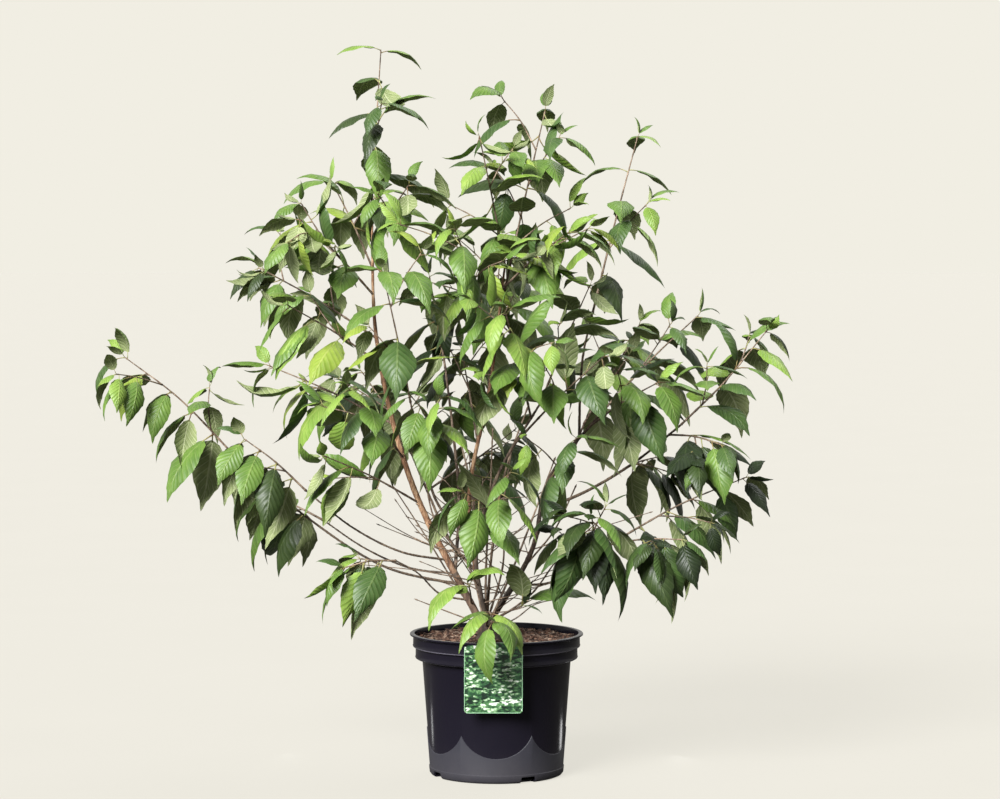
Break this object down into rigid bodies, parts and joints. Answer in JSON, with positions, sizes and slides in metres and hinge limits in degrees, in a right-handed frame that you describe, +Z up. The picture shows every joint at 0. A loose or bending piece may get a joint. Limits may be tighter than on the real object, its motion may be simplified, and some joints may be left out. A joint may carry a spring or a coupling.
{
  "type": "potted kilimanjaro doublefile viburnum",
  "caption": "Young doublefile viburnum shrub with several leaning stems and hanging pleated leaves, in its black nursery container with a hooked picture card.",
  "frame": {"origin": "middle of the container's flat underside", "axes": "+Z up; -Y towards the viewer of the picture; +X to that viewer's right"},
  "size_m": [1.1146, 0.777, 1.1811],
  "materials": {
    "black_plastic": "glossy moulded black plastic, satin in the lower zone",
    "potting_soil": "matt, crumbly bark and peat mix",
    "printed_card": "printed plastic card with a leafy pattern",
    "old_bark": "matt, orange-brown finely ribbed bark",
    "young_bark": "matt, greyish tan young bark",
    "leaf": "satin, pleated green leaves, paler beneath"
  },
  "bodies": {
    "root": {"bough_back_left": "young_bark", "bough_back_right": "young_bark", "bough_far_right": "young_bark", "bough_left_front": "young_bark", "bough_left_high": "young_bark", "bough_left_long": "young_bark", "bough_left_low": "young_bark", "bough_low_right": "young_bark", "bough_right_top": "young_bark", "fork_left": "young_bark", "leaves_back_centre": "leaf", "leaves_back_left": "leaf", "leaves_back_low": "leaf", "leaves_back_right": "leaf", "leaves_centre_dark": "leaf", "leaves_far_left": "leaf", "leaves_far_right": "leaf", "leaves_front_centre_high": "leaf", "leaves_front_centre_low": "leaf", "leaves_front_left_high": "leaf", "leaves_front_left_low": "leaf", "leaves_front_right_low": "leaf", "leaves_leader_left": "leaf", "leaves_leader_right": "leaf", "leaves_leader_top": "leaf", "leaves_left_back": "leaf", "leaves_left_front": "leaf", "leaves_left_hanging": "leaf", "leaves_left_low": "leaf", "leaves_left_mid": "leaf", "leaves_left_pale": "leaf", "leaves_left_upper_mid": "leaf", "leaves_low_left": "leaf", "leaves_low_right_far": "leaf", "leaves_low_right_front": "leaf", "leaves_low_right_hanging": "leaf", "leaves_pot_front": "leaf", "leaves_right_dark": "leaf", "leaves_right_front": "leaf", "leaves_right_hanging": "leaf", "leaves_right_mid": "leaf", "leaves_right_mid_low": "leaf", "leaves_right_top": "leaf", "leaves_right_upper_mid": "leaf", "leaves_top_centre_left": "leaf", "leaves_top_centre_right": "leaf", "leaves_twin_top": "leaf", "leaves_upper_centre_left": "leaf", "leaves_upper_centre_right": "leaf", "leaves_upper_left_far": "leaf", "leaves_upper_left_light": "leaf", "picture_card": "printed_card", "pot": "black_plastic", "root_crown": "old_bark", "soil": "potting_soil", "stem_centre": "old_bark", "stem_front": "old_bark", "stem_left": "old_bark", "stem_right": "old_bark", "stem_twin": "old_bark"}
  },
  "joints": []
}
